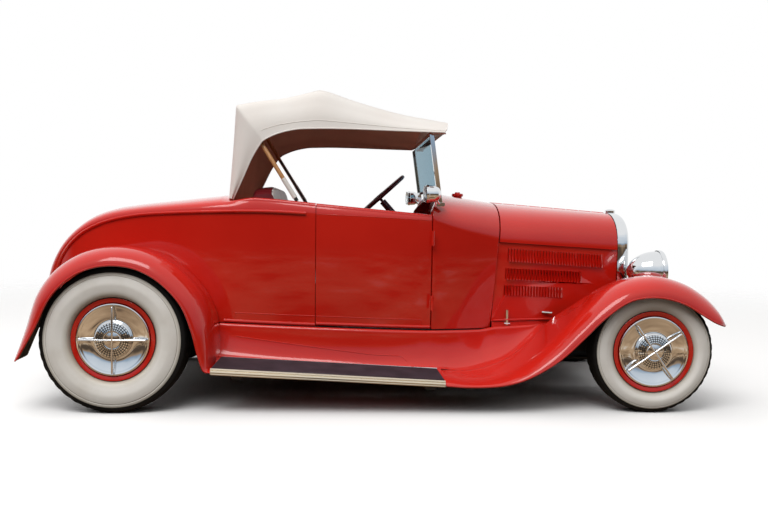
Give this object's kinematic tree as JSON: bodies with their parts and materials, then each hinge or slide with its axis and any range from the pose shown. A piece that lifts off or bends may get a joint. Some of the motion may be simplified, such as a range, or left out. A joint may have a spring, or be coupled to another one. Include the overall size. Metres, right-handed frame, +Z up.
{
  "type": "roadster car",
  "caption": "Open two-seat roadster with a folding canvas top, louvred hood, flowing fenders, running boards, spinning wheels, linked steering, hinged doors, hood lids and deck lid.",
  "frame": {"origin": "on the floor, midway between the front and rear ends of the car and on its centre plane", "axes": "+X towards the front of the car, +Y to its left side, +Z up; millimetres in the source, metres here"},
  "size_m": [3.487, 1.684, 1.634],
  "materials": {
    "red_paint": "gloss",
    "black_paint": "satin",
    "chrome": "mirror",
    "tyre": "matt, wide white sidewall",
    "clear_glass": "clear",
    "lens_glass": "fluted",
    "red_lens": "gloss",
    "canvas": "woven",
    "bow_wood": "varnished",
    "leather": "satin",
    "rubber_mat": "ribbed",
    "rim_plastic": "gloss",
    "cast_iron": "painted",
    "steel": "dull",
    "core": "black"
  },
  "bodies": {
    "chassis": {"chassis_frame": "black_paint", "front_axle": "black_paint", "springs": "black_paint", "rear_axle": "black_paint", "power_unit": "cast_iron", "exhaust": "steel", "floor_pan": "black_paint", "body_tub": "red_paint", "cowl": "red_paint", "hood_hinge_rod": "chrome", "hood_sides": "red_paint", "radiator_shell": "chrome", "radiator_core": "core", "headlamps": "chrome", "headlamp_lenses": "lens_glass", "tail_lamps": "red_lens", "front_fenders": "red_paint", "rear_fenders": "red_paint", "running_boards": "red_paint", "step_mats": "rubber_mat", "splash_aprons": "red_paint", "windshield_frame": "chrome", "windshield_glass": "clear_glass", "top_canvas": "canvas", "top_bows": "bow_wood", "seat_cushion": "leather", "seat_back": "leather", "steering_column": "black_paint"},
    "door_left": {"door_left": "red_paint"},
    "door_right": {"door_right": "red_paint"},
    "deck_lid": {"deck_lid": "red_paint"},
    "hood_top_left": {"hood_top_left": "red_paint"},
    "hood_top_right": {"hood_top_right": "red_paint"},
    "knuckle_left": {"knuckle_left": "black_paint"},
    "knuckle_right": {"knuckle_right": "black_paint"},
    "tie_rod": {"tie_rod": "black_paint"},
    "steering_wheel": {"steering_wheel": "rim_plastic"},
    "wheel_front_left": {"tyre_front_left": "tyre", "wheel_front_left": "red_paint", "hubcap_front_left": "chrome"},
    "wheel_front_right": {"tyre_front_right": "tyre", "wheel_front_right": "red_paint", "hubcap_front_right": "chrome"},
    "wheel_rear_left": {"tyre_rear_left": "tyre", "wheel_rear_left": "red_paint", "hubcap_rear_left": "chrome"},
    "wheel_rear_right": {"tyre_rear_right": "tyre", "wheel_rear_right": "red_paint", "hubcap_rear_right": "chrome"}
  },
  "joints": [
    {"name": "steer_left", "type": "hinge", "parent": "chassis", "child": "knuckle_left", "pos_m": [1.3855, 0.622, 0.307], "axis": [0, 0, 1], "range_deg": [-32, 32]},
    {"name": "steer_right", "type": "hinge", "parent": "chassis", "child": "knuckle_right", "pos_m": [1.3855, -0.622, 0.307], "axis": [0, 0, 1], "range_deg": [-32, 32]},
    {"name": "tie_rod_swing", "type": "hinge", "parent": "knuckle_left", "child": "tie_rod", "pos_m": [1.2355, 0.622, 0.236], "axis": [0, 0, 1], "range_deg": [-32, 32]},
    {"name": "steering_wheel_turn", "type": "hinge", "parent": "chassis", "child": "steering_wheel", "pos_m": [0.0675, 0.285, 1.07], "axis": [-0.669, 0, 0.7433], "range_deg": [-384, 384]},
    {"name": "spin_front_left", "type": "hinge", "parent": "knuckle_left", "child": "wheel_front_left", "pos_m": [1.3855, 0.711, 0.307], "axis": [0, 1, 0], "continuous": true},
    {"name": "spin_front_right", "type": "hinge", "parent": "knuckle_right", "child": "wheel_front_right", "pos_m": [1.3855, -0.711, 0.307], "axis": [0, 1, 0], "continuous": true},
    {"name": "spin_rear_left", "type": "hinge", "parent": "chassis", "child": "wheel_rear_left", "pos_m": [-1.2435, 0.711, 0.355], "axis": [0, 1, 0], "continuous": true},
    {"name": "spin_rear_right", "type": "hinge", "parent": "chassis", "child": "wheel_rear_right", "pos_m": [-1.2435, -0.711, 0.355], "axis": [0, 1, 0], "continuous": true},
    {"name": "door_left_swing", "type": "hinge", "parent": "chassis", "child": "door_left", "pos_m": [0.3055, 0.588, 0.7], "axis": [0, 0, -1], "range_deg": [0, 70]},
    {"name": "door_right_swing", "type": "hinge", "parent": "chassis", "child": "door_right", "pos_m": [0.3055, -0.588, 0.7], "axis": [0, 0, 1], "range_deg": [0, 70]},
    {"name": "deck_lid_lift", "type": "hinge", "parent": "chassis", "child": "deck_lid", "pos_m": [-0.8215, 0, 1.069], "axis": [0, 1, 0], "range_deg": [0, 60]},
    {"name": "hood_left_lift", "type": "hinge", "parent": "chassis", "child": "hood_top_left", "pos_m": [0.6942, 0, 1.041], "axis": [0.9972, 0, -0.0746], "range_deg": [0, 65]},
    {"name": "hood_right_lift", "type": "hinge", "parent": "chassis", "child": "hood_top_right", "pos_m": [0.6942, 0, 1.041], "axis": [-0.9972, 0, 0.0746], "range_deg": [0, 65]}
  ],
  "couplings": [
    {"joint": "steer_right", "follows": "steer_left", "ratio": 1},
    {"joint": "tie_rod_swing", "follows": "steer_left", "ratio": -1},
    {"joint": "steering_wheel_turn", "follows": "steer_left", "ratio": 12}
  ]
}
